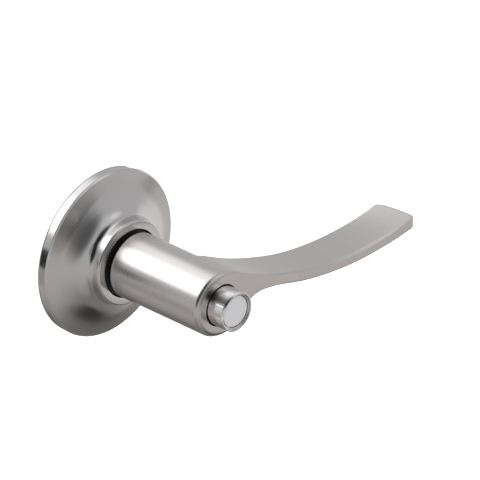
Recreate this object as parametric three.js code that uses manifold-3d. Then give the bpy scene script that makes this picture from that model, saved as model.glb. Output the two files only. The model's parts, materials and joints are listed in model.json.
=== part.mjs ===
// Door lever handle: a round rose, a straight neck with a push button in its end, and a flat blade.
//
// Millimetres. The origin is on the lever's axis, in the plane of the door's face. +Z is up, +X runs
// towards the tip of the blade and -Y points out of the door at the user. A distance called "out" is
// measured from the door's face along -Y, so what stands inside the door has a negative one. A bearing
// is in degrees about the axis, counter-clockwise for the user, with 0 at +X and 90 straight up.

import * as THREE from 'three';
import { mergeVertices } from 'three/addons/utils/BufferGeometryUtils.js';
import Module from 'manifold-3d';

const wasm = await Module();
wasm.setup();

// ---------------------------------------------------------------- driving dimensions

const GAP = 0.3;            // clearance between neighbours that touch on the real lever
const FINE = 48;            // facets round a visible turned piece
const COARSE = 24;          // facets round a hidden turned piece
const SMALL = 16;           // facets round a pin, a screw or a hole for one
const UP = 90;
const DOWN = 270;

const ROSE = {
  radius: 33.3, rim: 3.6, edge: 32.6, edgeOut: 4.4,    // upright rim and the line round its front
  cone: 24.6, coneOut: 6.4,                            // where the gentle cone turns up
  crease: 17.1, creaseOut: 11.4,                       // foot of the raised collar
  out: 15.9, mouth: 13.7, beadRadius: 0.9, wall: 1.4,
  notchWide: 6.4, notchDeep: 2.3, notchBearing: 60,    // pry notches in the back edge
};
const PLATE = {
  radius: 31.2, front: 1.2, rim: 2.6, rimWall: 1.2,
  seat: 27.4, relief: 0.3,                             // only the border bears on the door
  snaps: 3, snapProud: 0.45, snapHalf: 4,
};
const SCREW = {
  apart: 44.5, shank: 2.1, hole: 2.4, end: -7,
  head: 3.9, headTall: 2.5, recessHalf: 2.2, recessDeep: 1.3, recessWide: 0.9,
};
const CAGE = {
  flange: 22.5, drum: 17.6, wall: 0.9, thick: 1.2, out: 8.6, collar: 13.2, collarBore: 12.2, collarOut: 12.8,
  lug: 15.8, stop: 14.4,                               // how near the axis its lug and stops reach
};
const RIVET = { circle: 20.2, count: 4, shank: 1.2, hole: 1.5, head: 1.9, headTall: 0.7 };
const BUSH = { bore: 10.1, radius: 11.9, flange: 13.35, flangeBack: 13.1, out: 16.4, back: 3.0 };
const HUB = {
  radius: 9.8, bore: 8.2, back: -4, out: 44, web: 1.6, flat: 9.0, flatOut: 2.9,
  grooveRadius: 9.2, grooveBack: -2.05, grooveOut: -0.95, keyWide: 3, keyTop: 11.2, keyOut: 30,
};
const CAM = {
  radius: 16.3, back: 1.6, out: 2.6, tang: 14.3, tangTop: 15.5, stopTall: 1.8,
  turn: 50, lugHalf: 5.2, play: 1.5,                   // turn each way, and half the width of its lugs
};
const SPRING = { mean: 13.2, wire: 1.5, back: 3.5, out: 6.55, legBearing: 10.5, legRadius: 16.2 };
const NECK = { radius: 12.88, back: 17, out: 63.6, bore: 10.1, boreOut: 60.4, edge: 2.2, rearEdge: 1.2 };
const BLADE = {
  back: 44.6, tipBack: 45.7, edge: 1, tip: 103.7, tipLag: 1.7, tipCornerBack: 3.2, tipCornerFront: 2.2,
  filletRadius: 13, filletBearing: -34.8, root: -7,
};
const BUTTON = {
  radius: 7.9, out: 71.3, back: 54.4, hole: 8.5, rim: 0.6, flange: 9.4, flangeThick: 2,
  recess: 6.6, recessDeep: 1.8, insert: 6.2, insertOut: 70.7, insertThick: 0.9,
};
const GUIDE = { radius: 9.8, bore: 8.15, back: 56.9, out: 60.1 };
const STEM = { radius: 2.4, out: 64, back: 4, bore: 2.8, slotOut: 13, grooveRadius: 1.9, groove: 18.75 };
const CORE = { radius: 7.9, back: 20, out: 43 };
const CATCH = {
  out: 27, radius: 2.1, inner: 7, outer: 11.6, tail: 0.9, tailEnd: 5.8,
  pocket: 2.5, seat: 3.5, release: 1.2,                // its pocket in the core, and the hole below it
};
const SPINDLE = { radius: 4.2, head: 7.4, flat: -0.9, out: -1, back: -22, headThick: 1.1 };
const BAR = { half: 2.5, thick: 1.2, out: 12.5, back: -23, pinOut: 8, pin: 0.7 };
const WASHER = { outer: 13.6, back: -0.8, out: -0.3 };
const CLIP = { inner: 9.35, outer: 12, back: -1.9, out: -1.1, gapHalf: 16 };
const STEM_CLIP = { inner: 2.05, outer: 4.4, thick: 0.8, gapHalf: 35 };
const BUTTON_SPRING = { mean: 4.2, wire: 0.9, turns: 5 };
const CATCH_SPRING = { mean: 1.55, wire: 0.45, turns: 4, top: 3.8, foot: 6.8 };

// ---------------------------------------------------------------- shape helpers

const radians = THREE.MathUtils.degToRad;

function polar(radius, bearing) {
  const turn = radians(bearing);
  return [radius * Math.cos(turn), radius * Math.sin(turn)];
}

/** Points of an arc in a drawing, from one angle to the other, in degrees. */
function arc(x, y, radius, from, to, steps) {
  const turnAt = (i) => from + ((to - from) * i) / steps;
  return Array.from({ length: steps + 1 }, (_, i) => {
    const [dx, dy] = polar(radius, turnAt(i));
    return [x + dx, y + dy];
  });
}

/** A solid turned about the lever's axis from a profile of [radius, out] points. */
function turned(profile, facets = COARSE) {
  const points = profile.map(([radius, out]) => new THREE.Vector2(radius, -out));
  const onAxis = profile[0][0] === 0 && profile.at(-1)[0] === 0;
  if (THREE.ShapeUtils.area(points) < 0) points.reverse();
  if (!onAxis) points.push(points[0].clone());
  return new THREE.LatheGeometry(points, facets);
}

/** A plain ring or, with an inner radius of 0, a plain disc. */
function ring(inner, outer, back, out, facets = COARSE) {
  return turned([[inner, back], [outer, back], [outer, out], [inner, out]], facets);
}

/** A drawing in X and Z, swept along the lever's axis. */
function swept(shape, back, out, bevel = 0, steps = 4) {
  const geometry = new THREE.ExtrudeGeometry(shape, {
    depth: out - back - 2 * bevel,
    curveSegments: steps,
    bevelEnabled: bevel > 0,
    bevelThickness: bevel,
    bevelSize: bevel,
    bevelOffset: -bevel,
    bevelSegments: 2,
  });
  return geometry.translate(0, 0, back + bevel).rotateX(Math.PI / 2);
}

/** A block that spans part of a ring, from one bearing to the other. */
function sector(inner, outer, from, to, back, out) {
  const steps = Math.ceil((to - from) / 30);
  const shape = new THREE.Shape();
  shape.absarc(0, 0, outer, radians(from), radians(to), false);
  shape.absarc(0, 0, inner, radians(to), radians(from), true);
  return swept(shape, back, out, 0, steps);
}

/** A block given by its two corners, as [x, out, z]. */
function block([x0, out0, z0], [x1, out1, z1]) {
  const geometry = new THREE.BoxGeometry(x1 - x0, out1 - out0, z1 - z0);
  return geometry.translate((x0 + x1) / 2, -(out0 + out1) / 2, (z0 + z1) / 2);
}

/** A round bar along Z. */
function upright(radius, low, high, x = 0, out = 0, facets = SMALL) {
  const geometry = new THREE.CylinderGeometry(radius, radius, high - low, facets);
  return geometry.rotateX(Math.PI / 2).translate(x, -out, (low + high) / 2);
}

/** A wire of round section that follows a curve. */
function wire(curve, diameter, steps) {
  const section = new THREE.Shape();
  section.absarc(0, 0, diameter / 2, 0, 2 * Math.PI, false);
  return new THREE.ExtrudeGeometry(section, { steps, curveSegments: 3, extrudePath: curve });
}

/** Points of a helix about the lever's axis, between two bearings and two distances out. */
function helix(radius, from, to, back, out, count) {
  return Array.from({ length: count }, (_, i) => {
    const part = i / (count - 1);
    const [x, z] = polar(radius, from + (to - from) * part);
    return new THREE.Vector3(x, -(back + (out - back) * part), z);
  });
}

function toSolid(geometry) {
  const bare = geometry.index ? geometry.clone() : mergeVertices(geometry);
  bare.deleteAttribute('normal');
  bare.deleteAttribute('uv');
  const merged = mergeVertices(bare, 1e-4);
  return new wasm.Manifold(new wasm.Mesh({
    numProp: 3,
    vertProperties: new Float32Array(merged.attributes.position.array),
    triVerts: new Uint32Array(merged.index.array),
  }));
}

function toGeometry(solid) {
  const mesh = solid.getMesh();
  const geometry = new THREE.BufferGeometry();
  geometry.setAttribute('position', new THREE.BufferAttribute(mesh.vertProperties, 3));
  geometry.setIndex(new THREE.BufferAttribute(mesh.triVerts, 1));
  return geometry;
}

function join(...pieces) {
  return toGeometry(pieces.map(toSolid).reduce((whole, piece) => whole.add(piece)));
}

function cut(body, ...tools) {
  return toGeometry(tools.map(toSolid).reduce((rest, tool) => rest.subtract(tool), toSolid(body)));
}

function common(a, b) {
  return toGeometry(toSolid(a).intersect(toSolid(b)));
}

// ---------------------------------------------------------------- fixed trim on the door

const screwSides = [-SCREW.apart / 2, SCREW.apart / 2];

/** A round bar along the lever's axis, through a point in X and Z. */
function axial(radius, back, out, x, z, facets = SMALL) {
  return ring(0, radius, back, out, facets).translate(x, 0, z);
}

function rivetPlaces() {
  const step = 360 / RIVET.count;
  return Array.from({ length: RIVET.count }, (_, i) => polar(RIVET.circle, step * (i + 0.5)));
}

/** Pressed cover: rim, cone, ogee and a rounded collar round the mouth, open at the back. */
function roseShape() {
  const { wall } = ROSE;
  const collar = ROSE.crease - 0.1;
  const face = ROSE.out - wall;
  const ogee = new THREE.SplineCurve([
    new THREE.Vector2(ROSE.cone, ROSE.coneOut),
    new THREE.Vector2(21.4, 8.0),
    new THREE.Vector2(18.9, 10.2),
    new THREE.Vector2(ROSE.crease, ROSE.creaseOut),
  ]).getPoints(4).map((point) => [point.x, point.y]);
  const outside = [
    [ROSE.radius, 0],
    [ROSE.radius - 0.1, ROSE.rim],
    [ROSE.edge, ROSE.edgeOut],
    ...ogee,
    ...arc(collar - ROSE.beadRadius, ROSE.out - ROSE.beadRadius, ROSE.beadRadius, 0, 90, 4),
    [ROSE.mouth, ROSE.out],
  ];
  const inside = [
    [ROSE.mouth, face],
    [collar - wall, face],
    [collar - wall, ROSE.creaseOut - wall],
    [17.7, 9.4],
    [20.6, 7.0],
    [ROSE.cone - 0.7, ROSE.coneOut - wall],
    [ROSE.radius - wall, ROSE.edgeOut - wall],
    [ROSE.radius - wall, 0],
  ];
  const half = ROSE.notchWide / 2;
  const notches = [ROSE.notchBearing, ROSE.notchBearing + 180].map((bearing) => {
    const tool = block([ROSE.radius - 4, -1, -half], [ROSE.radius + 2, ROSE.notchDeep, half]);
    return tool.rotateY(-radians(bearing));
  });
  return cut(turned([...outside, ...inside], FINE), ...notches);
}

/** Liner that the rose snaps over: a disc with an upturned rim, snap pips and its holes. */
function plateShape() {
  const { radius, front, rim, rimWall, seat, relief, snapProud, snapHalf } = PLATE;
  const hole = HUB.radius + GAP;
  const profile = [
    [hole, relief], [seat, relief], [seat, 0], [radius, 0], [radius, rim],
    [radius - rimWall, rim], [radius - rimWall, front], [hole, front],
  ];
  const pips = Array.from({ length: PLATE.snaps }, (_, i) => {
    const bearing = UP + (360 / PLATE.snaps) * i;
    return sector(radius - 0.5, radius + snapProud, bearing - snapHalf, bearing + snapHalf, 1, 2);
  });
  const holes = [
    ...screwSides.map((x) => axial(SCREW.hole, -1, front + 1, x, 0)),
    ...rivetPlaces().map(([x, z]) => axial(RIVET.hole, -1, front + 1, x, z)),
  ];
  return cut(join(turned(profile, FINE), ...pips), ...holes);
}

/** Cup that houses the return spring, with the lug that the spring grips and two stops. */
function cageShape() {
  const { flange, drum, wall, thick, out, collar, collarBore, collarOut } = CAGE;
  const back = PLATE.front + GAP;
  const inner = drum - wall;
  const roof = out - thick;
  const profile = [
    [inner, back], [flange, back], [flange, back + thick], [drum, back + thick], [drum, out - 0.4],
    [drum - 0.4, out], [collar, out], [collar, collarOut], [collarBore, collarOut], [collarBore, roof],
    [inner, roof],
  ];
  const lugBack = CAM.out + GAP;
  const stopFrom = CAM.turn + CAM.lugHalf + CAM.play;
  const [skin, lugOut] = [drum - wall / 3, roof + thick / 2];
  const lug = sector(CAGE.lug, skin, UP - CAM.lugHalf, UP + CAM.lugHalf, lugBack, lugOut);
  const stops = [-1, 1].map((side) => {
    const [from, to] = [stopFrom * side, (stopFrom + 10) * side].sort((a, b) => a - b);
    return sector(CAGE.stop, skin, DOWN + from, DOWN + to, lugBack, lugOut);
  });
  const holes = rivetPlaces().map(([x, z]) => axial(RIVET.hole, 0, back + thick + 1, x, z));
  const scallops = screwSides.map((x) => axial(SCREW.head + GAP, 0, back + thick + 0.1, x, 0, COARSE));
  return cut(join(turned(profile), lug, ...stops), ...holes, ...scallops);
}

/** Rivet that clinches the cage to the plate. */
function rivetShape() {
  const { shank, head, headTall } = RIVET;
  const rear = PLATE.relief - GAP;
  const front = PLATE.front + GAP + CAGE.thick + GAP;
  return turned([
    [0, rear - headTall], [head, rear - headTall], [head, rear], [shank, rear],
    [shank, front], [head, front], [head - 0.5, front + headTall], [0, front + headTall],
  ], 12);
}

/** Black bush: the lever turns in it, and its flange fills the mouth of the rose. */
function bushShape() {
  const { bore, radius, flange, flangeBack, out, back } = BUSH;
  return turned([
    [bore, back], [radius, back], [radius, flangeBack], [flange, flangeBack], [flange, out - 0.4],
    [flange - 0.4, out], [bore, out],
  ]);
}

/** Machine screw that clamps the trim through the door, with a cross recess. */
function screwShape() {
  const { shank, head, headTall, end, recessHalf, recessDeep, recessWide } = SCREW;
  const seat = PLATE.front + GAP;
  const top = seat + headTall;
  const body = turned([
    [0, end], [shank - 0.5, end], [shank, end + 0.6], [shank, seat],
    [head, seat], [head, top - 1], [head - 0.9, top], [0, top],
  ], SMALL);
  const half = recessWide / 2;
  const recess = join(
    block([-recessHalf, top - recessDeep, -half], [recessHalf, top + 1, half]),
    block([-half, top - recessDeep, -recessHalf], [half, top + 1, recessHalf]),
  );
  return cut(body, recess);
}

/** Torsion spring: nearly two turns, with a leg on each side of the lugs at the top. */
function returnSpringShape() {
  const { mean, wire: diameter, back, out, legBearing, legRadius } = SPRING;
  const from = UP + legBearing + 9;
  const to = UP + 720 - legBearing - 9;
  const leg = (bearing, distance) => {
    const [x, z] = polar(legRadius, bearing);
    return new THREE.Vector3(x, -distance, z);
  };
  const path = new THREE.CatmullRomCurve3([
    leg(UP + legBearing, back),
    ...helix(mean, from, to, back, out, 30),
    leg(UP - legBearing, out),
  ], false, 'centripetal');
  return wire(path, diameter, 44);
}

// ---------------------------------------------------------------- what turns with the lever

/** Outline of the blade from the front: a long shallow sweep that leaves the neck at its top. */
function bladeOutline() {
  const top = [
    [8, 11], [14, 8.2], [22, 4.7], [31, 1.65], [47, -2.4], [63, -4.2], [73, -4.4], [84, -3.9], [95, -2.7],
  ];
  const under = [[95, -7.4], [84, -8.45], [73, -8.8], [63, -8.6], [47, -7.2], [34, -4.2]];
  const end = BLADE.tip + 2;
  const toVectors = (list) => list.map(([x, z]) => new THREE.Vector2(x, z));
  const [cx, cz] = polar(NECK.radius + BLADE.filletRadius, BLADE.filletBearing);
  const shape = new THREE.Shape();
  shape.moveTo(1, 12.4);
  shape.splineThru(toVectors([...top, [end, -1.1]]));
  shape.lineTo(end, -5.6);
  shape.splineThru(toVectors([...under, [cx + 3, cz + BLADE.filletRadius - 0.3]]));
  shape.absarc(cx, cz, BLADE.filletRadius, radians(UP), radians(BLADE.filletBearing + 180), false);
  shape.lineTo(0, BLADE.root);
  shape.closePath();
  return shape;
}

/** Outline of the blade from above, in X and out: straight sides and a slanted end with soft corners. */
function bladePlan() {
  const { back, tipBack, tip, tipLag, tipCornerBack, tipCornerFront } = BLADE;
  const shape = new THREE.Shape();
  shape.moveTo(-1, back);
  shape.lineTo(tip - tipLag - tipCornerBack, tipBack);
  shape.quadraticCurveTo(tip - tipLag, tipBack, tip - tipLag * 0.7, tipBack + tipCornerBack);
  shape.quadraticCurveTo(tip, (tipBack + NECK.out) / 2 + 4, tip, NECK.out - tipCornerFront);
  shape.quadraticCurveTo(tip, NECK.out, tip - tipCornerFront, NECK.out);
  shape.lineTo(-1, NECK.out);
  shape.closePath();
  return shape;
}

/** The casting: a bored neck with the blade along its outer end. */
function leverShape() {
  const { radius, back, out, bore, boreOut, edge, rearEdge } = NECK;
  const neck = turned([
    [0, back], [radius - rearEdge, back], [radius, back + rearEdge],
    ...arc(radius - edge, out - edge, edge, 0, 90, 4), [0, out],
  ], FINE);
  const plan = new THREE.ExtrudeGeometry(bladePlan(), { depth: 40, bevelEnabled: false, curveSegments: 4 });
  plan.translate(0, 0, -20).scale(1, -1, 1);
  flip(plan);
  const blade = common(swept(bladeOutline(), BLADE.back, out, BLADE.edge, 3), plan);
  const keyway = HUB.keyWide / 2 + GAP;
  return cut(
    join(neck, blade),
    ring(0, bore, back - 1, boreOut),
    ring(0, BUTTON.hole, boreOut - 1, out + 1),
    block([-keyway, back - 1, 0], [keyway, HUB.keyOut + GAP, HUB.keyTop + GAP]),
    upright(CATCH.pocket, -CATCH.outer - GAP, 0, 0, CATCH.out),
    upright(CATCH.release, -radius - 1, 0, 0, CATCH.out),
  );
}

/** Turns a mirrored geometry's faces out again. */
function flip(geometry) {
  const { array } = geometry.attributes.position;
  for (let i = 0; i < array.length; i += 9) {
    for (let k = 0; k < 3; k += 1) {
      [array[i + 3 + k], array[i + 6 + k]] = [array[i + 6 + k], array[i + 3 + k]];
    }
  }
}

/** Steel sleeve that carries the lever: a tube with a web for the spindle, a key and two flats. */
function hubShape() {
  const { radius, bore, back, out, web, flat, flatOut, keyWide, keyTop, keyOut } = HUB;
  const tube = turned([
    [0, back], [radius, back], [radius, HUB.grooveBack], [HUB.grooveRadius, HUB.grooveBack],
    [HUB.grooveRadius, HUB.grooveOut], [radius, HUB.grooveOut], [radius, out], [bore, out],
    [bore, back + web], [0, back + web],
  ]);
  const key = block([-keyWide / 2, NECK.back + 0.6, radius - 0.6], [keyWide / 2, keyOut, keyTop]);
  const flats = [-1, 1].map((side) => {
    const [low, high] = [flat * side, (radius + 1) * side].sort((a, b) => a - b);
    return block([-radius, back - 1, low], [radius, flatOut, high]);
  });
  const slot = SPINDLE.flat + 1.8;
  return cut(
    join(tube, key),
    ...flats,
    halfRound(SPINDLE.radius + GAP, back - 1, back + web + 1, GAP / 2),
    block([-BAR.half - GAP, back - 1, SPINDLE.flat - 0.1], [BAR.half + GAP, back + web + 1, slot]),
    upright(CATCH.radius + GAP, -radius - 1, -bore + 1, 0, CATCH.out),
  );
}

/** A half-round bar along the axis, below the spindle's flat. */
function halfRound(radius, back, out, raise = 0) {
  const top = SPINDLE.flat + raise;
  const lower = block([-radius - 1, back - 1, -radius - 1], [radius + 1, out + 1, top]);
  return common(ring(0, radius, back, out, 24), lower);
}

/** Plastic core in the hub: it guides the button's stem and holds the catch and its spring. */
function coreShape() {
  return cut(
    ring(STEM.bore, CORE.radius, CORE.back, CORE.out),
    upright(CATCH.pocket, -CORE.radius - 1, -CATCH.seat, 0, CATCH.out),
  );
}

/** Cam behind the spring: one tang between the spring's legs and one between the stops. */
function camShape() {
  const { radius, back, out, tang: inner, tangTop, stopTall, lugHalf } = CAM;
  const root = out - 0.5;
  const tang = sector(inner, tangTop, UP - lugHalf, UP + lugHalf, root, CAGE.out - CAGE.thick - GAP);
  const stop = sector(inner, radius - 0.1, DOWN - lugHalf, DOWN + lugHalf, root, out + stopTall);
  const hole = common(
    ring(0, HUB.radius + GAP, back - 1, out + 1),
    block([-12, back - 2, -HUB.flat - GAP], [12, out + 2, HUB.flat + GAP]),
  );
  return cut(join(ring(0, radius, back, out), tang, stop), hole);
}

/** Open ring that snaps into a groove, with its gap at a bearing. */
function openRing({ inner, outer, gapHalf }, back, out, gapBearing) {
  return sector(inner, outer, gapBearing + gapHalf, gapBearing + 360 - gapHalf, back, out);
}

/** Spindle: a half-round bar that works the latch, with a head that rests on the hub's web. */
function spindleShape() {
  const { radius, head, out, back, headThick } = SPINDLE;
  return join(halfRound(radius, back, out - 0.5), halfRound(head, out - headThick, out));
}

/** Round guide for the button, set behind the hole in the neck's end. */
function guideShape() {
  return ring(GUIDE.bore, GUIDE.radius, GUIDE.back, GUIDE.out);
}

/** Sprung pin that locks the neck to the hub: pushed in through the hole below, it frees the lever. */
function catchShape() {
  const pin = upright(CATCH.radius, -CATCH.outer, -CATCH.inner, 0, CATCH.out);
  const tail = upright(CATCH.tail, -CATCH.inner - 0.5, -CATCH.tailEnd, 0, CATCH.out, 10);
  return join(pin, tail);
}

/** A compression spring about the lever's axis. */
function coil(spring, back, out) {
  const { mean, wire: diameter, turns } = spring;
  const points = helix(mean, 0, 360 * turns, back + diameter / 2, out - diameter / 2, 8 * turns + 1);
  return wire(new THREE.CatmullRomCurve3(points), diameter, 9 * turns);
}

// ---------------------------------------------------------------- what moves with the button

/** Turned cap: a rounded rim round a recess for the insert, and a flange that keeps it in. */
function capShape() {
  const { radius, out, back, rim, flange, flangeThick, recess, recessDeep } = BUTTON;
  const socket = STEM.radius + GAP;
  const floor = out - recessDeep;
  return turned([
    [0, floor], [recess, floor], [recess, out - 0.2], [recess + 0.2, out],
    ...arc(radius - rim, out - rim, rim, 90, 0, 3),
    [radius, back + flangeThick], [flange, back + flangeThick], [flange, back], [socket, back],
    [socket, STEM.out + GAP], [0, STEM.out + GAP],
  ]);
}

function insertShape() {
  const { insert, insertOut, insertThick } = BUTTON;
  const back = insertOut - insertThick;
  return turned([
    [0, back], [insert, back], [insert, insertOut - 0.2], [insert - 0.2, insertOut], [0, insertOut],
  ]);
}

/** Push rod from the cap to the lock bar: grooved for its clip and forked at its back end. */
function stemShape() {
  const { radius, out, back, groove, grooveRadius, slotOut } = STEM;
  const rod = turned([
    [0, back], [radius, back], [radius, groove], [grooveRadius, groove],
    [grooveRadius, groove + 1.1], [radius, groove + 1.1], [radius, out], [0, out],
  ], SMALL);
  const half = BAR.thick / 2 + GAP;
  return cut(
    rod,
    block([-radius - 1, back - 1, -half], [radius + 1, slotOut, half]),
    upright(BAR.pin + 0.2, -radius - 1, radius + 1, 0, BAR.pinOut, 12),
  );
}

/** Flat bar that passes beside the spindle and blocks the latch when the button is in. */
function barShape() {
  const { half, thick, out, back } = BAR;
  return cut(
    block([-half, back, -thick / 2], [half, out, thick / 2]),
    upright(BAR.pin + 0.2, -thick, thick, 0, BAR.pinOut, 12),
  );
}

// ---------------------------------------------------------------- the assembly

const FINISH = {
  satinNickel: [0x9f9c96, 0.32, 1],
  polishedNickel: [0xc4c1ba, 0.16, 1],
  turnedSteel: [0xb9bdc2, 0.22, 1],
  paleInsert: [0xb4bac2, 0.6, 0.1],
  blackNylon: [0x0d0d0e, 0.55, 0],
  zincPlate: [0x9aa0a5, 0.45, 1],
  springSteel: [0x6c7075, 0.35, 1],
  whiteNylon: [0xd8d6cd, 0.5, 0],
};

const group = new THREE.Group();

function add(name, geometry, finish, parent = group) {
  const [color, roughness, metalness] = FINISH[finish];
  const mesh = new THREE.Mesh(geometry, new THREE.MeshStandardMaterial({ color, roughness, metalness }));
  mesh.name = name;
  parent.add(mesh);
  return mesh;
}

const trim = new THREE.Group();
const lever = new THREE.Group();
const button = new THREE.Group();
group.add(trim, lever, button);

add('rose', roseShape(), 'polishedNickel', trim);
add('mount_plate', plateShape(), 'zincPlate', trim);
add('spring_cage', cageShape(), 'zincPlate', trim);
rivetPlaces().forEach(([x, z], i) => {
  add(`cage_rivet_${i + 1}`, rivetShape(), 'springSteel', trim).position.set(x, 0, z);
});
add('bearing_bush', bushShape(), 'blackNylon', trim);
screwSides.forEach((x, i) => {
  add(`mounting_screw_${i + 1}`, screwShape(), 'zincPlate', trim).position.x = x;
});
add('return_spring', returnSpringShape(), 'springSteel', trim);

add('lever', leverShape(), 'satinNickel', lever);
add('drive_hub', hubShape(), 'zincPlate', lever);
add('hub_core', coreShape(), 'whiteNylon', lever);
add('cam_plate', camShape(), 'zincPlate', lever);
add('thrust_washer', ring(HUB.radius + GAP, WASHER.outer, WASHER.back, WASHER.out), 'springSteel', lever);
add('retaining_ring', openRing(CLIP, CLIP.back, CLIP.out, DOWN), 'springSteel', lever);
add('spindle', spindleShape(), 'zincPlate', lever);
add('button_guide', guideShape(), 'blackNylon', lever);
add('lever_catch', catchShape(), 'springSteel', lever);
const { top, foot } = CATCH_SPRING;
const catchSpring = add('catch_spring', coil(CATCH_SPRING, top, foot), 'springSteel', lever);
catchSpring.rotation.x = Math.PI / 2;
catchSpring.position.y = -CATCH.out;

add('button_cap', capShape(), 'turnedSteel', button);
add('button_insert', insertShape(), 'paleInsert', button);
add('button_stem', stemShape(), 'turnedSteel', button);
const clipBack = STEM.groove + 0.15;
add('stem_clip', openRing(STEM_CLIP, clipBack, clipBack + STEM_CLIP.thick, UP), 'springSteel', button);
add('lock_bar', barShape(), 'zincPlate', button);
const pinHalf = STEM.radius - 0.1;
add('link_pin', upright(BAR.pin, -pinHalf, pinHalf, 0, BAR.pinOut, 12), 'springSteel', button);
add('button_spring', coil(BUTTON_SPRING, CORE.out + GAP, BUTTON.back - GAP), 'springSteel', button);

export default group;
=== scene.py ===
"""Looks of the door lever handle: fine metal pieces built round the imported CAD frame.

The frame's origin is on the lever's axis in the plane of the door's face, with +Z up, +X towards the
tip of the blade and -Y out of the door. A distance called "out" runs along -Y from the door's face.
Profiles and outlines are in millimetres, and the meshes in metres.
"""

import json
import math

import bmesh
import bpy
import numpy as np
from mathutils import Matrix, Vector


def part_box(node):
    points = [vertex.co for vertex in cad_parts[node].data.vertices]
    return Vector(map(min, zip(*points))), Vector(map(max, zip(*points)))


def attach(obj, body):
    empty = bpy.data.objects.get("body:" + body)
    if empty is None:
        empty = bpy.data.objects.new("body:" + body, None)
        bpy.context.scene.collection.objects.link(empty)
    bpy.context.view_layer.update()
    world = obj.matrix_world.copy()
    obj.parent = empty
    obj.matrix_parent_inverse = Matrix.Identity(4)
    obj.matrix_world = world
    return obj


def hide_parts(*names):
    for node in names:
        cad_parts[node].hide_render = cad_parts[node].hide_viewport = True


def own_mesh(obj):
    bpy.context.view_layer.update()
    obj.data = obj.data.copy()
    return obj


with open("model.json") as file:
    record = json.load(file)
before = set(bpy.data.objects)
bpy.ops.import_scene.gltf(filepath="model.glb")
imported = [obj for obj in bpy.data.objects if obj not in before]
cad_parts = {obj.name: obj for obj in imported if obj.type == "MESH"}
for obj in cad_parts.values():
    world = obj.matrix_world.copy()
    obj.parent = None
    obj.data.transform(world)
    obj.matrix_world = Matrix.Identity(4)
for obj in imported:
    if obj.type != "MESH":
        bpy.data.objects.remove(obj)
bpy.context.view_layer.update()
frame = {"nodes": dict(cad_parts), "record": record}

MM = 0.001


def corner_mm(node):
    """Lowest and highest corner of a CAD node, in millimetres, as (x, out, z) limits."""
    low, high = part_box(node)
    return {
        "x": (low.x / MM, high.x / MM),
        "out": (-high.y / MM, -low.y / MM),
        "z": (low.z / MM, high.z / MM),
    }


ROSE = corner_mm("rose")
LEVER = corner_mm("lever")
CAP = corner_mm("button_cap")
INSERT = corner_mm("button_insert")
BUSH = corner_mm("bearing_bush")
GUIDE = corner_mm("button_guide")
SCREW = corner_mm("mounting_screw_2")
CATCH = corner_mm("lever_catch")
HUB = corner_mm("drive_hub")
CLIP = corner_mm("retaining_ring")
WASHER = corner_mm("thrust_washer")
SPINDLE = corner_mm("spindle")
BAR = corner_mm("lock_bar")
BUTTON_COIL = corner_mm("button_spring")
CATCH_COIL = corner_mm("catch_spring")

ROSE_R = ROSE["x"][1]
NECK_R = LEVER["z"][1]
NECK_BACK, NECK_OUT = LEVER["out"]
TIP_X = LEVER["x"][1]
CATCH_OUT = (CATCH["out"][0] + CATCH["out"][1]) / 2
BORE_OUT = GUIDE["out"][1] + 0.3

# Sizes in millimetres that a node's box doesn't give.
HOLE_R = 8.25
BORE_R = 10.1
CAP_R = 7.9
CAP_FLANGE_R = 9.4
HUB_R = 9.8
ROSE_MOUTH_R = 13.5
COLLAR_FOOT = (16.98, 14.4)
BLADE_BACK = 44.6
SCREW_SIDES = (-22.25, 22.25)
THREAD_R = 2.1
THREAD_DEPTH = 0.4
RIVET_CIRCLE_R = 20.2
RIVET_BEARINGS = (45, 135, 225, 315)
TURNED_SEGMENTS = 192


def on_circle(radius, bearing):
    """The (x, z) point at a radius and a bearing, in degrees, about the lever's axis."""
    turn = math.radians(bearing)
    return radius * math.cos(turn), radius * math.sin(turn)


RIVET_PLACES = [on_circle(RIVET_CIRCLE_R, bearing) for bearing in RIVET_BEARINGS]


# ------------------------------------------------------------------ mesh helpers

def finish_mesh(bm, name, sharp=32):
    """Makes an object of a bmesh given in millimetres, with smooth faces between its sharp edges."""
    bmesh.ops.remove_doubles(bm, verts=bm.verts, dist=1e-4)
    bmesh.ops.recalc_face_normals(bm, faces=bm.faces)
    bmesh.ops.scale(bm, vec=(MM, MM, MM), verts=bm.verts)
    mesh = bpy.data.meshes.new(name)
    bm.to_mesh(mesh)
    bm.free()
    mesh.shade_smooth()
    mesh.set_sharp_from_angle(angle=math.radians(sharp))
    piece = bpy.data.objects.new(name, mesh)
    bpy.context.scene.collection.objects.link(piece)
    return piece


def rounded(corners, steps=4):
    """A profile from (radius, out, rounding) corners: each rounding becomes an arc between its sides."""
    points = []
    count = len(corners)
    for i, corner in enumerate(corners):
        here = np.array(corner[:2], float)
        size = corner[2] if len(corner) > 2 else 0
        if not size:
            points.append(tuple(here))
            continue
        before = np.array(corners[i - 1][:2], float) - here
        after = np.array(corners[(i + 1) % count][:2], float) - here
        room = min(np.linalg.norm(before), np.linalg.norm(after)) * 0.49
        before /= np.linalg.norm(before)
        after /= np.linalg.norm(after)
        half = math.acos(np.clip(before @ after, -1, 1)) / 2
        reach = min(size / math.tan(half), room)
        radius = reach * math.tan(half)
        bisector = (before + after) / np.linalg.norm(before + after)
        centre = here + bisector * radius / math.sin(half)
        start = here + before * reach - centre
        sweep = math.pi - 2 * half
        side = 1 if start[0] * after[1] - start[1] * after[0] > 0 else -1
        for k in range(steps + 1):
            turn = side * sweep * k / steps
            c, s = math.cos(turn), math.sin(turn)
            turned_start = np.array([c * start[0] - s * start[1], s * start[0] + c * start[1]])
            points.append(tuple(centre + turned_start))
    return points


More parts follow.
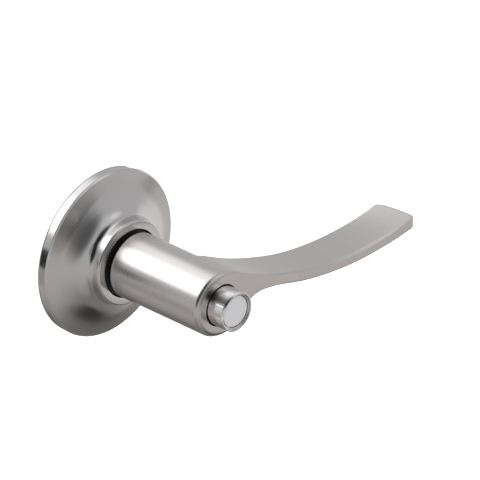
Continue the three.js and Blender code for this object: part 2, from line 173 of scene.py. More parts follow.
def turned(name, profile, segments=TURNED_SEGMENTS, place=(0, 0)):
    """A piece turned about an axis along Y through place, from a closed profile of (radius, out)."""
    bm = bmesh.new()
    rings = []
    for radius, out in profile:
        if radius < 1e-6:
            rings.append([bm.verts.new((place[0], -out, place[1]))] * segments)
            continue
        turns = [2 * math.pi * k / segments for k in range(segments)]
        rings.append([
            bm.verts.new((place[0] + radius * math.cos(t), -out, place[1] + radius * math.sin(t)))
            for t in turns
        ])
    for i, ring in enumerate(rings):
        following = rings[(i + 1) % len(rings)]
        if ring[0] is ring[1] and following[0] is following[1]:
            continue
        for k in range(segments):
            j = (k + 1) % segments
            corners = list(dict.fromkeys([ring[k], ring[j], following[j], following[k]]))
            if len(corners) > 2:
                bm.faces.new(corners)
    return finish_mesh(bm, name)


def spline(points, count):
    """Points evenly spread along a natural cubic spline through the given ones."""
    data = np.array(points, float)
    knots = np.concatenate([[0], np.cumsum(np.linalg.norm(np.diff(data, axis=0), axis=1))])
    gaps = np.diff(knots)
    size = len(data)
    matrix, right = np.eye(size), np.zeros((size, 2))
    for i in range(1, size - 1):
        matrix[i, i - 1:i + 2] = gaps[i - 1], 2 * (gaps[i - 1] + gaps[i]), gaps[i]
        right[i] = 6 * ((data[i + 1] - data[i]) / gaps[i] - (data[i] - data[i - 1]) / gaps[i - 1])
    bend = np.linalg.solve(matrix, right)
    found = []
    for at in np.linspace(0, knots[-1], count):
        i = min(int(np.searchsorted(knots, at, side="right")) - 1, size - 2)
        a, b, gap = knots[i + 1] - at, at - knots[i], gaps[i]
        found.append(
            (bend[i] * a**3 + bend[i + 1] * b**3) / (6 * gap)
            + (data[i] / gap - bend[i] * gap / 6) * a
            + (data[i + 1] / gap - bend[i + 1] * gap / 6) * b
        )
    return [tuple(p) for p in found]


def arc(centre, radius, start, end, count):
    """Points of an arc, from one angle to the other, in degrees."""
    turns = np.radians(np.linspace(start, end, count))
    return [(centre[0] + radius * math.cos(t), centre[1] + radius * math.sin(t)) for t in turns]


def block(name, low, high, bearing=0):
    """A plain cutting block between two (x, out, z) corners, turned by a bearing about the lever's axis."""
    bm = bmesh.new()
    bmesh.ops.create_cube(bm, size=1)
    for v in bm.verts:
        x, out, z = (low[i] + (high[i] - low[i]) * (v.co[i] + 0.5) for i in range(3))
        c, s = math.cos(math.radians(bearing)), math.sin(math.radians(bearing))
        v.co = (x * c - z * s, -out, x * s + z * c)
    return finish_mesh(bm, name)


def upright(name, radius, low, high, out, segments=32):
    """A round cutting bar along Z that crosses the lever's axis at a distance out."""
    bm = bmesh.new()
    rings = [
        [
            bm.verts.new((radius * math.cos(t), radius * math.sin(t) - out, z))
            for t in np.linspace(0, 2 * math.pi, segments, endpoint=False)
        ]
        for z in (low, high)
    ]
    join_rings(bm, rings)
    return finish_mesh(bm, name)


def join_rings(bm, rings):
    """Walls between loops of the same length, with a face over the first and the last."""
    for a, b in zip(rings, rings[1:]):
        for i in range(len(a)):
            j = (i + 1) % len(a)
            bm.faces.new((a[i], a[j], b[j], b[i]))
    bm.faces.new(list(reversed(rings[0])))
    bm.faces.new(rings[-1])


def bar(name, section, low, high, chamfer=0.3, place=(0, 0)):
    """A bar along the lever's axis, from a section of (x, z) points, with chamfered ends."""
    section = np.array(section, float)
    middle = (section.min(axis=0) + section.max(axis=0)) / 2
    half = (section.max(axis=0) - section.min(axis=0)) / 2
    bm = bmesh.new()
    rings = []
    for out, inset in ((low, chamfer), (low + chamfer, 0), (high - chamfer, 0), (high, chamfer)):
        points = middle + (section - middle) * (1 - inset / half)
        rings.append([bm.verts.new((x + place[0], -out, z + place[1])) for x, z in points])
    join_rings(bm, rings)
    return finish_mesh(bm, name)


def part_ring(name, section, start, stop, steps=72):
    """Part of a ring, between two bearings, from a section of (radius, out) points."""
    bm = bmesh.new()
    rings = []
    for t in np.radians(np.linspace(start, stop, steps + 1)):
        rings.append([bm.verts.new((r * math.cos(t), -out, r * math.sin(t))) for r, out in section])
    join_rings(bm, rings)
    return finish_mesh(bm, name)


def cut(piece, tools, sharp=32):
    """Cuts the tools out of the piece and removes them."""
    for tool in tools:
        modifier = piece.modifiers.new("cut", "BOOLEAN")
        modifier.operation = "DIFFERENCE"
        modifier.solver = "EXACT"
        modifier.object = tool
    bpy.context.view_layer.update()
    graph = bpy.context.evaluated_depsgraph_get()
    mesh = bpy.data.meshes.new_from_object(piece.evaluated_get(graph))
    piece.modifiers.clear()
    piece.data = mesh
    mesh.shade_smooth()
    mesh.set_sharp_from_angle(angle=math.radians(sharp))
    for tool in tools:
        bpy.data.objects.remove(tool)
    return piece


def even_normals(piece):
    """Keeps flat faces flat where they run into a rounded edge."""
    modifier = piece.modifiers.new("even_normals", "WEIGHTED_NORMAL")
    modifier.keep_sharp = True
    modifier.weight = 60


# ------------------------------------------------------------------ materials

def node(tree, kind, **values):
    made = tree.nodes.new(kind)
    for key, value in values.items():
        setattr(made, key, value)
    return made


def painted_reflection_bands(tree, split, tones):
    """Painted shade: a tone that changes with the bearing about the lever's axis, in broad bands that stand
    for dark reflections of the studio.
    """
    link = tree.links.new
    turn = node(tree, "ShaderNodeMath", operation="ARCTAN2")
    for axis, socket in (("Z", 0), ("X", 1)):
        mirrored = node(tree, "ShaderNodeMath", operation="MULTIPLY")
        mirrored.inputs[1].default_value = -1
        link(split.outputs[axis], mirrored.inputs[0])
        link(mirrored.outputs[0], turn.inputs[socket])
    share = node(tree, "ShaderNodeMapRange")
    share.inputs["From Min"].default_value = -math.pi
    share.inputs["From Max"].default_value = math.pi
    link(turn.outputs[0], share.inputs["Value"])
    shade_bands = node(tree, "ShaderNodeValToRGB")
    ramp = shade_bands.color_ramp
    ramp.interpolation = "EASE"
    for bearing, tone in tones:
        stop = ramp.elements.new(bearing / 360)
        stop.color = (tone, tone, tone, 1)
    ramp.elements[0].color = ramp.elements[-1].color = (0.8, 0.8, 0.8, 1)
    link(share.outputs[0], shade_bands.inputs["Fac"])
    return shade_bands.outputs["Color"]


def new_material(name):
    """An empty material, with its node tree and its shader."""
    material = bpy.data.materials.new(name)
    material.use_nodes = True
    tree = material.node_tree
    return material, tree, tree.nodes["Principled BSDF"]


def scaled(tree, value, factor):
    """The value times a factor."""
    made = node(tree, "ShaderNodeMath", operation="MULTIPLY")
    made.inputs[1].default_value = factor
    tree.links.new(value, made.inputs[0])
    return made.outputs[0]


def mapped(tree, value, source, target, interpolation="LINEAR"):
    """Takes a value from one range to another, and holds it at the ends."""
    made = node(tree, "ShaderNodeMapRange", interpolation_type=interpolation)
    made.inputs["From Min"].default_value, made.inputs["From Max"].default_value = source
    made.inputs["To Min"].default_value, made.inputs["To Max"].default_value = target
    tree.links.new(value, made.inputs["Value"])
    return made.outputs[0]


def noise(tree, place, scale, detail):
    """Soft noise at a place."""
    made = node(tree, "ShaderNodeTexNoise")
    made.inputs["Scale"].default_value = scale
    made.inputs["Detail"].default_value = detail
    tree.links.new(place, made.inputs["Vector"])
    return made.outputs["Fac"]


def mixed_color(tree, factor, first, second):
    """Goes from the first colour to the second; either is a plain colour or the output of a node."""
    made = node(tree, "ShaderNodeMix", data_type="RGBA")
    tree.links.new(factor, made.inputs["Factor"])
    for value, socket in ((first, made.inputs["A"]), (second, made.inputs["B"])):
        if isinstance(value, tuple):
            socket.default_value = (*value, 1)
        else:
            tree.links.new(value, socket)
    return made.outputs["Result"]


def shade(color, factor):
    """A colour made lighter or darker."""
    return tuple(min(c * factor, 1) for c in color)


def grain_place(tree, split, grain):
    """Coordinates in which even noise becomes grain that runs one way."""
    link = tree.links.new
    radial = node(tree, "ShaderNodeCombineXYZ")
    link(split.outputs["X"], radial.inputs["X"])
    link(split.outputs["Z"], radial.inputs["Z"])
    if grain == "drawn":
        made = node(tree, "ShaderNodeVectorMath", operation="NORMALIZE")
        link(radial.outputs[0], made.inputs[0])
        return made.outputs[0]
    made = node(tree, "ShaderNodeCombineXYZ")
    link(split.outputs["Y"], made.inputs["Y"])
    if grain == "turned":
        length = node(tree, "ShaderNodeVectorMath", operation="LENGTH")
        link(radial.outputs[0], length.inputs[0])
        link(length.outputs["Value"], made.inputs["X"])
        link(scaled(tree, split.outputs["X"], 0.03), made.inputs["Z"])
    else:
        link(scaled(tree, split.outputs["X"], 0.02), made.inputs["X"])
        link(scaled(tree, split.outputs["Z"], 0.12), made.inputs["Z"])
    return made.outputs[0]


def edge_highlight_color(tree, color, factor):
    """A slightly uneven colour, with a painted highlight that lightens it along sharp edges."""
    tint = mixed_color(tree, factor, shade(color, 0.955), shade(color, 1.045))
    shape = node(tree, "ShaderNodeNewGeometry")
    # painted highlight: the colour is lighter where the surface is pointy, along edges
    edges = mapped(tree, shape.outputs["Pointiness"], (0.53, 0.62), (0, 0.6))
    return mixed_color(tree, edges, tint, shade(color, 1.18))


def add_painted_bands(tree, split, shade_bands, color, roughness):
    """Darkens the metal's colour in its bands as painted shade, and roughens it there; returns the new
    colour and roughness.
    """
    tone = painted_reflection_bands(tree, split, shade_bands)
    banded = node(tree, "ShaderNodeMix", data_type="RGBA", blend_type="MULTIPLY")
    banded.inputs["Factor"].default_value = 1
    tree.links.new(color, banded.inputs["A"])
    tree.links.new(tone, banded.inputs["B"])
    rougher = node(tree, "ShaderNodeMath", operation="ADD")
    tree.links.new(roughness, rougher.inputs[0])
    tree.links.new(mapped(tree, tone, (0, 0.6), (0.45, 0)), rougher.inputs[1])
    return banded.outputs["Result"], rougher.outputs[0]


def metal(name, color, roughness, grain="turned", grain_depth=0.010, spread=0.05, scale=3200, shade_bands=None):
    """Plated or bare metal with a fine grain.

    The grain "turned" runs round the lever's axis, "drawn" runs along it and "long" along the blade.
    The shade bands, if any, are (bearing, tone) pairs of painted shade that stands for dark reflections: a
    darker band is also rougher.
    """
    material, tree, shader = new_material(name)
    link = tree.links.new
    shader.inputs["Metallic"].default_value = 1
    place = node(tree, "ShaderNodeTexCoord").outputs["Object"]
    split = node(tree, "ShaderNodeSeparateXYZ")
    link(place, split.inputs[0])

    lines = noise(tree, grain_place(tree, split, grain), scale, 3)
    clouds = noise(tree, place, 55, 4)
    both = node(tree, "ShaderNodeMath", operation="ADD")
    link(lines, both.inputs[0])
    link(clouds, both.inputs[1])
    uneven = scaled(tree, both.outputs[0], 0.5)

    dullness = mapped(tree, uneven, (0.3, 0.7), (roughness - spread, roughness + spread))
    surface = edge_highlight_color(tree, color, uneven)
    # painted shade: the bands darken the colour at fixed bearings
    if shade_bands:
        surface, dullness = add_painted_bands(tree, split, shade_bands, surface, dullness)
    link(surface, shader.inputs["Base Color"])
    link(dullness, shader.inputs["Roughness"])

    bump = node(tree, "ShaderNodeBump")
    bump.inputs["Strength"].default_value = 0.5
    bump.inputs["Distance"].default_value = grain_depth * MM
    if grain == "long":
        # the neck is polished, and the grain grows towards the blade
        blade_only = mapped(tree, split.outputs["X"], (0.004, 0.03), (0.04, 0.3), "SMOOTHSTEP")
        link(blade_only, bump.inputs["Strength"])
    link(lines, bump.inputs["Height"])
    link(bump.outputs[0], shader.inputs["Normal"])
    return material


def plastic(name, color, roughness, grain=900):
    """Moulded plastic with a fine spark-eroded texture."""
    material, tree, shader = new_material(name)
    link = tree.links.new
    place = node(tree, "ShaderNodeTexCoord")
    grains = noise(tree, place.outputs["Object"], grain, 5)
    dullness = mapped(tree, grains, (0, 1), (roughness - 0.08, roughness + 0.08))
    link(dullness, shader.inputs["Roughness"])
    surface = mixed_color(tree, grains, shade(color, 0.85), shade(color, 1.15))
    link(surface, shader.inputs["Base Color"])
    bump = node(tree, "ShaderNodeBump")
    bump.inputs["Strength"].default_value = 0.3
    bump.inputs["Distance"].default_value = 0.02 * MM
    link(grains, bump.inputs["Height"])
    link(bump.outputs[0], shader.inputs["Normal"])
    return material


SATIN = metal("satin_nickel_long", (0.62, 0.598, 0.585), 0.27, grain="long", grain_depth=0.006, spread=0.03)
ROUND_SATIN = metal("satin_nickel_turned", (0.615, 0.603, 0.596), 0.18, spread=0.03)
# Steel for the button cap, with painted shade: dark bands at fixed bearings stand for reflections of the
# studio's dark gaps.
TURNED_WITH_PAINTED_BANDS = metal(
    "turned_steel", (0.97, 0.95, 0.94), 0.18, grain="drawn", scale=60, spread=0.1,
    shade_bands=[(60, 0.75), (96, 1), (110, 0.6), (118, 0.34), (126, 0.15), (136, 0.1), (143, 0.24), (150, 0.9),
           (158, 1), (166, 0.8), (172, 0.85), (182, 1), (190, 0.75), (204, 0.66), (222, 0.9), (250, 0.8)],
)
TURNED_PLAIN = metal("turned_steel_plain", (0.70, 0.69, 0.68), 0.2, grain="turned", spread=0.1)
INSERT_FACE = plastic("pale_insert", (0.62, 0.615, 0.635), 0.35, grain=1500)
ZINC = metal("zinc_plate", (0.52, 0.54, 0.56), 0.38, grain="long", spread=0.1)
SPRING = metal("spring_steel", (0.30, 0.31, 0.32), 0.3, grain="long")
BLACK = plastic("black_nylon", (0.012, 0.012, 0.013), 0.5)
WHITE = plastic("white_nylon", (0.72, 0.71, 0.67), 0.45)

SLOT_MATERIAL = {
    "satin_nickel": SATIN,
    "polished_nickel": ROUND_SATIN,
    "turned_steel": TURNED_PLAIN,
    "pale_insert": INSERT_FACE,
    "zinc_plate": ZINC,
    "spring_steel": SPRING,
    "black_nylon": BLACK,
    "white_nylon": WHITE,
}
NODE_SLOT = {part["node"]: part["material_slot"] for part in frame["record"]["subparts"]}


def stand_for(piece, node_name, body, material=None):
    """The piece rides on the body, replaces the CAD node and takes its finish from the node's slot."""
    slot_name = NODE_SLOT[node_name]
    piece.data.materials.clear()
    piece.data.materials.append(material or SLOT_MATERIAL[slot_name])
    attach(piece, body)
    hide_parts(node_name)
    return piece


# ------------------------------------------------------------------ rose and bush

def rose():
    """Domed cover: upright rim, gentle cone, ogee and a rounded collar round the mouth."""
    top = ROSE["out"][1]
    rim = rounded([(31.9, 0), (ROSE_R, 0, 0.25), (ROSE_R - 0.1, 3.75, 0.15), (32.9, 3.95), (32.5, 4.4)])
    cone = spline([(32.5, 4.42), (28.6, 5.2), (26.4, 5.75), (24.6, 6.4)], 12)
    ogee = spline([
        (24.6, 6.4), (21.6, 7.75), (19.6, 9.05), (18.25, 10.3), (17.55, 11.3), (17.25, 12.2), (17.1, 13.2),
        COLLAR_FOOT,
    ], 34)
    mouth = ROSE_MOUTH_R
    collar = rounded([COLLAR_FOOT, (16.9, top, 0.8), (mouth, top, 0.15), (mouth, top - 2.4)], 6)
    profile = [
        *rim[1:-1],
        *cone[:-1],
        *ogee,
        *collar[1:-1],
        (mouth, top - 2.4),
        (15.4, top - 2.4),
        (15.4, 10.2),
        (17.6, 9.2),
        (20.6, 6.9),
        (24.0, 5.0),
        (31.6, 3.1),
        (31.9, 2.8),
        (31.9, 0),
    ]
    piece = turned("rose_cover", profile, segments=256)
    notches = [
        block("notch", (ROSE_R - 4, -1, -3.2), (ROSE_R + 2, 2.3, 3.2), bearing)
        for bearing in (60, 240)
    ]
    return cut(piece, notches)


def bush():
    """Black bush whose flange fills the mouth of the rose."""
    flange = BUSH["x"][1] - 0.1
    out = BUSH["out"][1]
    return turned("bush_flange", rounded([
        (BORE_R, 3), (11.9, 3, 0.2), (11.9, 13.1), (flange, 13.1, 0.2), (flange, out - 0.3, 0.4),
        (BORE_R, out - 0.3, 0.3),
    ]), segments=128)


# ------------------------------------------------------------------ lever casting

FILLET_R = 13.0
FILLET_BEARING = -34.8
TOP_LEAVE = 76.0
TIP_R = 0.9
TIP_STARTS = 84
NECK_FRONT_EDGE = 2.2
NECK_REAR_EDGE = 1.2
BLADE_FRONT_EDGE = 0.45
BLADE_BACK_EDGE = 0.8
TIP_CHAMFER = 0.8
TIP_BACK = BLADE_BACK + 1.1
UNDER_BOW = 1.15
RELEASE_R = 1.2


def lever_outline():
    """Front outline of neck and blade, counter-clockwise, with the part that each point belongs to."""
    fillet = on_circle(NECK_R + FILLET_R, FILLET_BEARING)
    end = TIP_X
    disc = arc((0, 0), NECK_R, TOP_LEAVE, 360 + FILLET_BEARING, 110)
    foot = arc(fillet, FILLET_R, 180 + FILLET_BEARING, 96, 20)[1:]
    last = foot[-1]
    under = spline([
        foot[-2], last, (24, -1.95), (31, -3.05), (41, -5.45), (52, -7.35), (63, -8.35), (73, -8.6),
        (84, -8.0), (95, -6.8), (end - TIP_R, -5.6),
    ], 110)[2:]
    tip = [
        *arc((end - TIP_R, -4.7), TIP_R, -82, 0, 6)[1:],
        *[(end, z) for z in np.linspace(-4.2, -2.6, 5)[1:]],
        *arc((end - TIP_R, -1.95), TIP_R, 0, 80, 6)[1:],
    ]
    top_start = tip[-1]
    top = spline([
        top_start, (95, -2.35), (84, -3.65), (73, -4.3), (63, -4.2), (52, -3.25), (41, -1.15), (31, 1.65),
        (22, 4.75), (14, 8.25), (8, 10.95), disc[0],
    ], 130)[1:-1]
    points = disc + foot + under + tip + top
    kinds = ["disc"] * len(disc) + ["foot"] * len(foot) + ["under"] * len(under)
    kinds += ["tip"] * len(tip) + ["top"] * len(top)
    return np.array(points), kinds


def inward(points):
    """Unit normals that point into a counter-clockwise outline."""
    along = np.roll(points, -1, axis=0) - np.roll(points, 1, axis=0)
    along /= np.linalg.norm(along, axis=1)[:, None]
    return np.stack([-along[:, 1], along[:, 0]], axis=1)


def smooth_step(value):
    value = np.clip(value, 0, 1)
    return value * value * (3 - 2 * value)


def tip_lag(out):
    """How far the tip stands back at a level: a slanted end with rounded corners."""
    slant = 1.5 * (NECK_OUT - out) / (NECK_OUT - TIP_BACK)
    bow = 0.45 * ((out - 57) / 8) ** 2
    front, rear = 2.4, 3.2
    near_front = max(0, front - (NECK_OUT - out))
    near_back = max(0, rear - (out - TIP_BACK))
    corner = front - math.sqrt(max(front**2 - near_front**2, 0))
    corner += rear - math.sqrt(max(rear**2 - near_back**2, 0))
    return slant + bow + corner - 0.3


def level_points(outline, bow, out, inset):
    """The outline's points, each at its level and moved inwards by its inset."""
    x = outline[:, 0]
    moved = outline + inward(outline) * inset[:, None]
    lag = np.array([tip_lag(level) for level in out])
    moved[:, 0] -= lag * np.clip((x - TIP_STARTS) / (TIP_X - TIP_STARTS), 0, 1) ** 1.5
    middle, half = (NECK_OUT + BLADE_BACK) / 2, (NECK_OUT - BLADE_BACK) / 2
    moved[:, 1] -= UNDER_BOW * bow * np.clip(1 - ((out - middle) / half) ** 2, 0, 1)
    return [(px, -level, pz) for (px, pz), level in zip(moved, out)]


def edge_sizes(outline, kinds):
    """Sizes of the front edge and the back edge at each point, and how flat the front edge is."""
    x, z = outline[:, 0], outline[:, 1]
    flat = np.where((kinds == "top") | (kinds == "tip"), smooth_step((x - 14) / 36), 0)
    flat[kinds == "tip"] *= smooth_step((z[kinds == "tip"] + 5.2) / 2)
    front = NECK_FRONT_EDGE + (BLADE_FRONT_EDGE - NECK_FRONT_EDGE) * smooth_step((x + 4) / 14)
    front += (TIP_CHAMFER - BLADE_FRONT_EDGE) * flat
    back = np.where(kinds == "disc", 0, BLADE_BACK_EDGE * smooth_step((x - 4) / 8))
    back[kinds == "foot"] = BLADE_BACK_EDGE * smooth_step((x[kinds == "foot"] - 10.6) / 6)
    return front, back, flat


def casting_levels(outline, kinds):
    """The casting's outline at levels from its front face to the back of the blade."""
    x = outline[:, 0]
    front, back, flat = edge_sizes(outline, kinds)
    bow = np.where(kinds == "under", smooth_step((x - 22) / 20) * smooth_step((TIP_X - x) / 10), 0)
    face = np.full(len(outline), NECK_OUT)
    levels = []
    for k in range(7):
        turn = math.radians(15 * k)
        drop = (1 - flat) * (1 - math.cos(turn)) + flat * k / 6
        inset = (1 - flat) * (1 - math.sin(turn)) + flat * (1 - k / 6)
        levels.append(level_points(outline, bow, face - front * drop, front * inset))
    start = face - front
    stop = BLADE_BACK + 1.1 * smooth_step(x / TIP_X) + np.maximum(back, 0.02)
    for share in (0.06, 0.14, 0.25, 0.4, 0.55, 0.7, 0.82, 0.9, 0.96, 1):
        levels.append(level_points(outline, bow, start + (stop - start) * share, np.zeros(len(outline))))
    for k in range(1, 6):
        turn = math.radians(18 * k)
        out = stop - back * math.sin(turn)
        levels.append(level_points(outline, bow, out, back * (1 - math.cos(turn))))
    return levels


def circle(bm, radius, out, bearings):
    """A loop of points at a radius and a distance out."""
    return [bm.verts.new((radius * math.cos(t), -out, radius * math.sin(t))) for t in bearings]


def edges_of(bm, points, closed=True):
    """The edges along a row of points."""
    pairs = zip(points, points[1:] + points[:1]) if closed else zip(points, points[1:])
    return [bm.edges.get(pair) or bm.edges.new(pair) for pair in pairs]


def walls(bm, loops):
    """Faces between loops of the same length."""
    for a, b in zip(loops, loops[1:]):
        for i in range(len(a)):
            j = (i + 1) % len(a)
            bm.faces.new((a[i], a[j], b[j], b[i]))


def button_bore(bm):
    """The button's hole and the wider bore behind it; returns its loops from front to back."""
    bearings = np.linspace(0, 2 * math.pi, 144, endpoint=False)
    steps = (
        (HOLE_R + 0.15, NECK_OUT), (HOLE_R, NECK_OUT - 0.15), (HOLE_R, BORE_OUT),
        (BORE_R, BORE_OUT), (BORE_R, NECK_BACK + 0.3), (BORE_R + 0.3, NECK_BACK),
    )
    loops = [circle(bm, radius, out, bearings) for radius, out in steps]
    walls(bm, loops)
    return loops


def neck_loops(bm, ring):
    """The neck behind the blade, from a ring at the blade's back to the neck's rounded rear edge."""
    bearings = [math.atan2(v.co.z, v.co.x) for v in ring]
    stations = [(NECK_R, NECK_BACK + (BLADE_BACK - NECK_BACK) * s) for s in (0.75, 0.5, 0.25)]
    stations += [
        (NECK_R - NECK_REAR_EDGE * (1 - math.cos(t)), NECK_BACK + NECK_REAR_EDGE * (1 - math.sin(t)))
        for t in np.radians((0, 22.5, 45, 67.5, 90))
    ]
    loops = [ring] + [circle(bm, radius, out, bearings) for radius, out in stations]
    walls(bm, loops)
    return loops


def lever():
    """Casting of neck and blade, lofted from one outline through levels along the lever's axis."""
    outline, kinds = lever_outline()
    kinds = np.array(kinds)
    bm = bmesh.new()
    rings = [[bm.verts.new(p) for p in level] for level in casting_levels(outline, kinds)]
    walls(bm, rings)
    bore = button_bore(bm)
    bmesh.ops.triangle_fill(bm, edges=edges_of(bm, rings[0]) + edges_of(bm, bore[0]), use_beauty=True)

    # back wall of the blade, between its outline and the neck
    last = rings[-1]
    disc = [i for i, kind in enumerate(kinds) if kind == "disc"]
    blade = last[disc[-1]:] + [last[0]]
    right = arc((0, 0), NECK_R, TOP_LEAVE, FILLET_BEARING, 70)
    right_verts = [bm.verts.new((px, -BLADE_BACK, pz)) for px, pz in right[1:-1]]
    right_row = [last[0], *right_verts, last[disc[-1]]]
    back_edges = edges_of(bm, blade, closed=False) + edges_of(bm, right_row, closed=False)
    bmesh.ops.triangle_fill(bm, edges=back_edges, use_beauty=True)

    neck = neck_loops(bm, [last[i] for i in disc] + list(reversed(right_verts)))
    bmesh.ops.triangle_fill(bm, edges=edges_of(bm, neck[-1]) + edges_of(bm, bore[-1]), use_beauty=True)
    piece = finish_mesh(bm, "lever_casting", sharp=38)
    cut(piece, [upright("release", RELEASE_R, -NECK_R - 1, -BORE_R + 1, CATCH_OUT)], sharp=38)
    even_normals(piece)
    return piece


# ------------------------------------------------------------------ button

def button_cap():
    """Turned cap with a rounded lip, a groove and a thin ridge inside it, and a recess for the insert."""
    back, out = CAP["out"]
    radius = CAP_R
    inner = INSERT["x"][1]
    floor = INSERT["out"][0] - 0.3
    flange_out = back + 2
    socket, socket_out = 2.7, 64.3
    return turned("button_cap_turned", rounded([
        (0, floor), (inner + 0.15, floor), (inner + 0.15, out - 0.5, 0.06), (inner + 0.4, out - 0.35, 0.1),
        (inner + 0.55, out - 0.75, 0.08), (inner + 0.85, out - 0.75, 0.08), (inner + 1.0, out, 0.12),
        (radius, out, 0.45), (radius, out - 1, 0.1), (radius - 0.05, out - 1.1, 0.1),
        (radius - 0.05, flange_out), (CAP_FLANGE_R, flange_out, 0.2), (CAP_FLANGE_R, back, 0.2),
        (socket, back), (socket, socket_out), (0, socket_out),
    ]), segments=192)


def button_insert():
    """Pale disc set in the cap, very slightly domed."""
    back, out = INSERT["out"]
    radius = INSERT["x"][1] - 0.1
    rise = 0.12
    dome = [
        (radius * math.cos(t) * 0.93, out - rise + rise * math.sin(t))
        for t in np.radians((0, 30, 60))
    ]
    profile = [(0, back), (radius, back), (radius, out - 0.25), *dome, (0, out)]
    return turned("button_disc", profile, segments=128)


def button_guide():
    """Black ring that guides the cap."""
    back, out = GUIDE["out"]
    bore = CAP_R + 0.25
    rim = 9.8
    return turned("guide_ring", rounded([
        (bore, back, 0.2), (rim, back, 0.2), (rim, out, 0.2), (bore, out, 0.3),
    ]), segments=96)


# ------------------------------------------------------------------ back of the trim

def mount_plate():
    """Pressed liner: a border that bears on the door, a relieved middle, an upturned rim and its holes."""
    radius, seat, relief = 31.2, 27.4, 0.3
    hole = HUB_R + 0.3
    piece = turned("liner_plate", rounded([
        (hole, relief, 0.1), (seat - 0.4, relief, 0.3), (seat, 0, 0.3),
        (radius, 0, 0.6), (radius, 2.6, 0.2),
        (radius - 1.2, 2.6, 0.2), (radius - 1.2, 1.2, 0.4), (hole, 1.2, 0.1),
    ]), segments=192)
    places = [(x, 0, 2.4) for x in SCREW_SIDES] + [(x, z, 1.5) for x, z in RIVET_PLACES]
    return cut(piece, [
        turned("hole", [(0, -1), (size, -1), (size, 3), (0, 3)], 48, (x, z))
        for x, z, size in places
    ])


def rivet(index, place):
    """Domed rivet that clinches the spring's cup to the plate."""
    return turned(f"clinch_rivet_{index}", rounded([
        (0, -0.7), (1.15, -0.62, 0.3), (1.9, -0.1, 0.2), (1.9, 0, 0.05), (1.2, 0), (1.2, 3.0),
        (1.9, 3.0, 0.05), (1.8, 3.25, 0.2), (1.2, 3.65, 0.3), (0, 3.7),
    ]), segments=40, place=place)


def thread_radius(pitch_share, lead):
    """Radius of the screw's thread at a share of its pitch; lead goes from 0 to 1 where it starts."""
    crest = 1 - abs(2 * pitch_share - 1)
    return THREAD_R - THREAD_DEPTH * (1 - min(crest * 1.25, 1)) - 0.5 * (1 - lead)


def screw(index, x):
    """Machine screw: a helical thread, a rounded head and a cross recess."""
    end, top = SCREW["out"]
    seat, pitch = 1.5, 0.7
    rows, around = 12, 40
    bm = bmesh.new()
    rings = []
    length = seat - 0.6 - end
    count = int(length / pitch * rows)
    for k in range(count + 1):
        out = end + length * k / count
        lead = min((out - end) / 0.6, 1)
        ring = []
        for i in range(around):
            turn = i / around
            radius = thread_radius(((out - end) / pitch - turn) % 1, lead)
            angle = 2 * math.pi * turn
            ring.append(bm.verts.new((x + radius * math.cos(angle), -out, radius * math.sin(angle))))
        rings.append(ring)
    join_rings(bm, rings)
    shank = finish_mesh(bm, f"threaded_screw_{index}", sharp=60)
    head = turned("head", rounded([
        (0, seat - 1), (1.7, seat - 1), (1.7, seat), (3.9, seat, 0.15), (3.9, seat + 0.9, 0.2),
        (3.3, top - 0.5, 0.8), (2.2, top, 0.8), (0, top),
    ]), segments=64, place=(x, 0))
    arms = [
        block("recess", (x - a, top - 1.3, -b), (x + a, top + 1, b))
        for a, b in ((2.2, 0.45), (0.45, 2.2))
    ]
    cut(head, arms)
    return join_pieces(shank, head)


def join_pieces(piece, other):
    """Adds the other object's mesh to the piece's."""
    bm = bmesh.new()
    bm.from_mesh(piece.data)
    bm.from_mesh(other.data)
    bm.to_mesh(piece.data)
    bm.free()
    bpy.data.objects.remove(other)
    return piece


def half_round(radius, flat=-0.9, steps=40):
    """Section of a bar that is round below its flat."""
    start = math.degrees(math.asin(flat / radius))
    return arc((0, 0), radius, 180 - start, 360 + start, steps)


def drive_hub():
    """Steel sleeve: a web with slots for the spindle and the lock bar, a clip groove, a key and flats."""
    back, out = HUB["out"]
    tube = turned("drive_sleeve", rounded([
        (0, back), (HUB_R, back, 0.35), (HUB_R, -2.05), (9.2, -2.05), (9.2, -0.95), (HUB_R, -0.95),
        (HUB_R, out, 0.4), (8.2, out, 0.3), (8.2, back + 1.6), (0, back + 1.6),
    ]), segments=96)
    tools = [
        block("flat", (-12, back - 1, 9), (12, 2.9, 12)),
        block("flat", (-12, back - 1, -12), (12, 2.9, -9)),
        bar("spindle_slot", half_round(4.5, -0.75), back - 1, back + 2.6, 0),
        block("bar_slot", (-2.8, back - 1, -1), (2.8, back + 2.6, 0.9)),
        upright("catch_hole", 2.4, -12, -7.2, CATCH_OUT),
    ]
    cut(tube, tools)
    key = block("key", (-1.5, NECK_BACK + 0.6, HUB_R - 0.6), (1.5, 30, HUB["z"][1]))
    return join_pieces(tube, key)


def thrust_washer():
    back, out = WASHER["out"]
    return turned("flat_washer", rounded([
        (HUB_R + 0.3, back, 0.08), (13.6, back, 0.15), (13.6, out, 0.1), (HUB_R + 0.3, out, 0.08),
    ]), segments=128)


def retaining_ring():
    """Snap ring with a gap at the bottom and rounded edges."""
    back, out = CLIP["out"]
    section = rounded([(9.35, back, 0.12), (12, back, 0.2), (12, out, 0.2), (9.35, out, 0.12)])
    return part_ring("snap_ring", section, -74, 254, 120)


def spindle():
    """Half-round bar with a chamfered end and a head that rests on the hub's web."""
    back, out = SPINDLE["out"]
    shaft = bar("half_round_spindle", half_round(4.2), back, out - 0.5, 0.7)
    return join_pieces(shaft, bar("head", half_round(7.4), out - 1.1, out, 0.15))


def lock_bar():
    """Flat bar with rounded corners that passes beside the spindle."""
    back, out = BAR["out"]
    half, thin, corner = BAR["x"][1], BAR["z"][1], 0.35
    section = [
        (cx * (half - corner) + corner * math.cos(t), cz * (thin - corner) + corner * math.sin(t))
        for cx, cz, start in ((1, 1, 0), (-1, 1, 90), (-1, -1, 180), (1, -1, 270))
        for t in np.radians((start, start + 30, start + 60, start + 90))
    ]
    return bar("flat_lock_bar", section, back, out, 0.25)


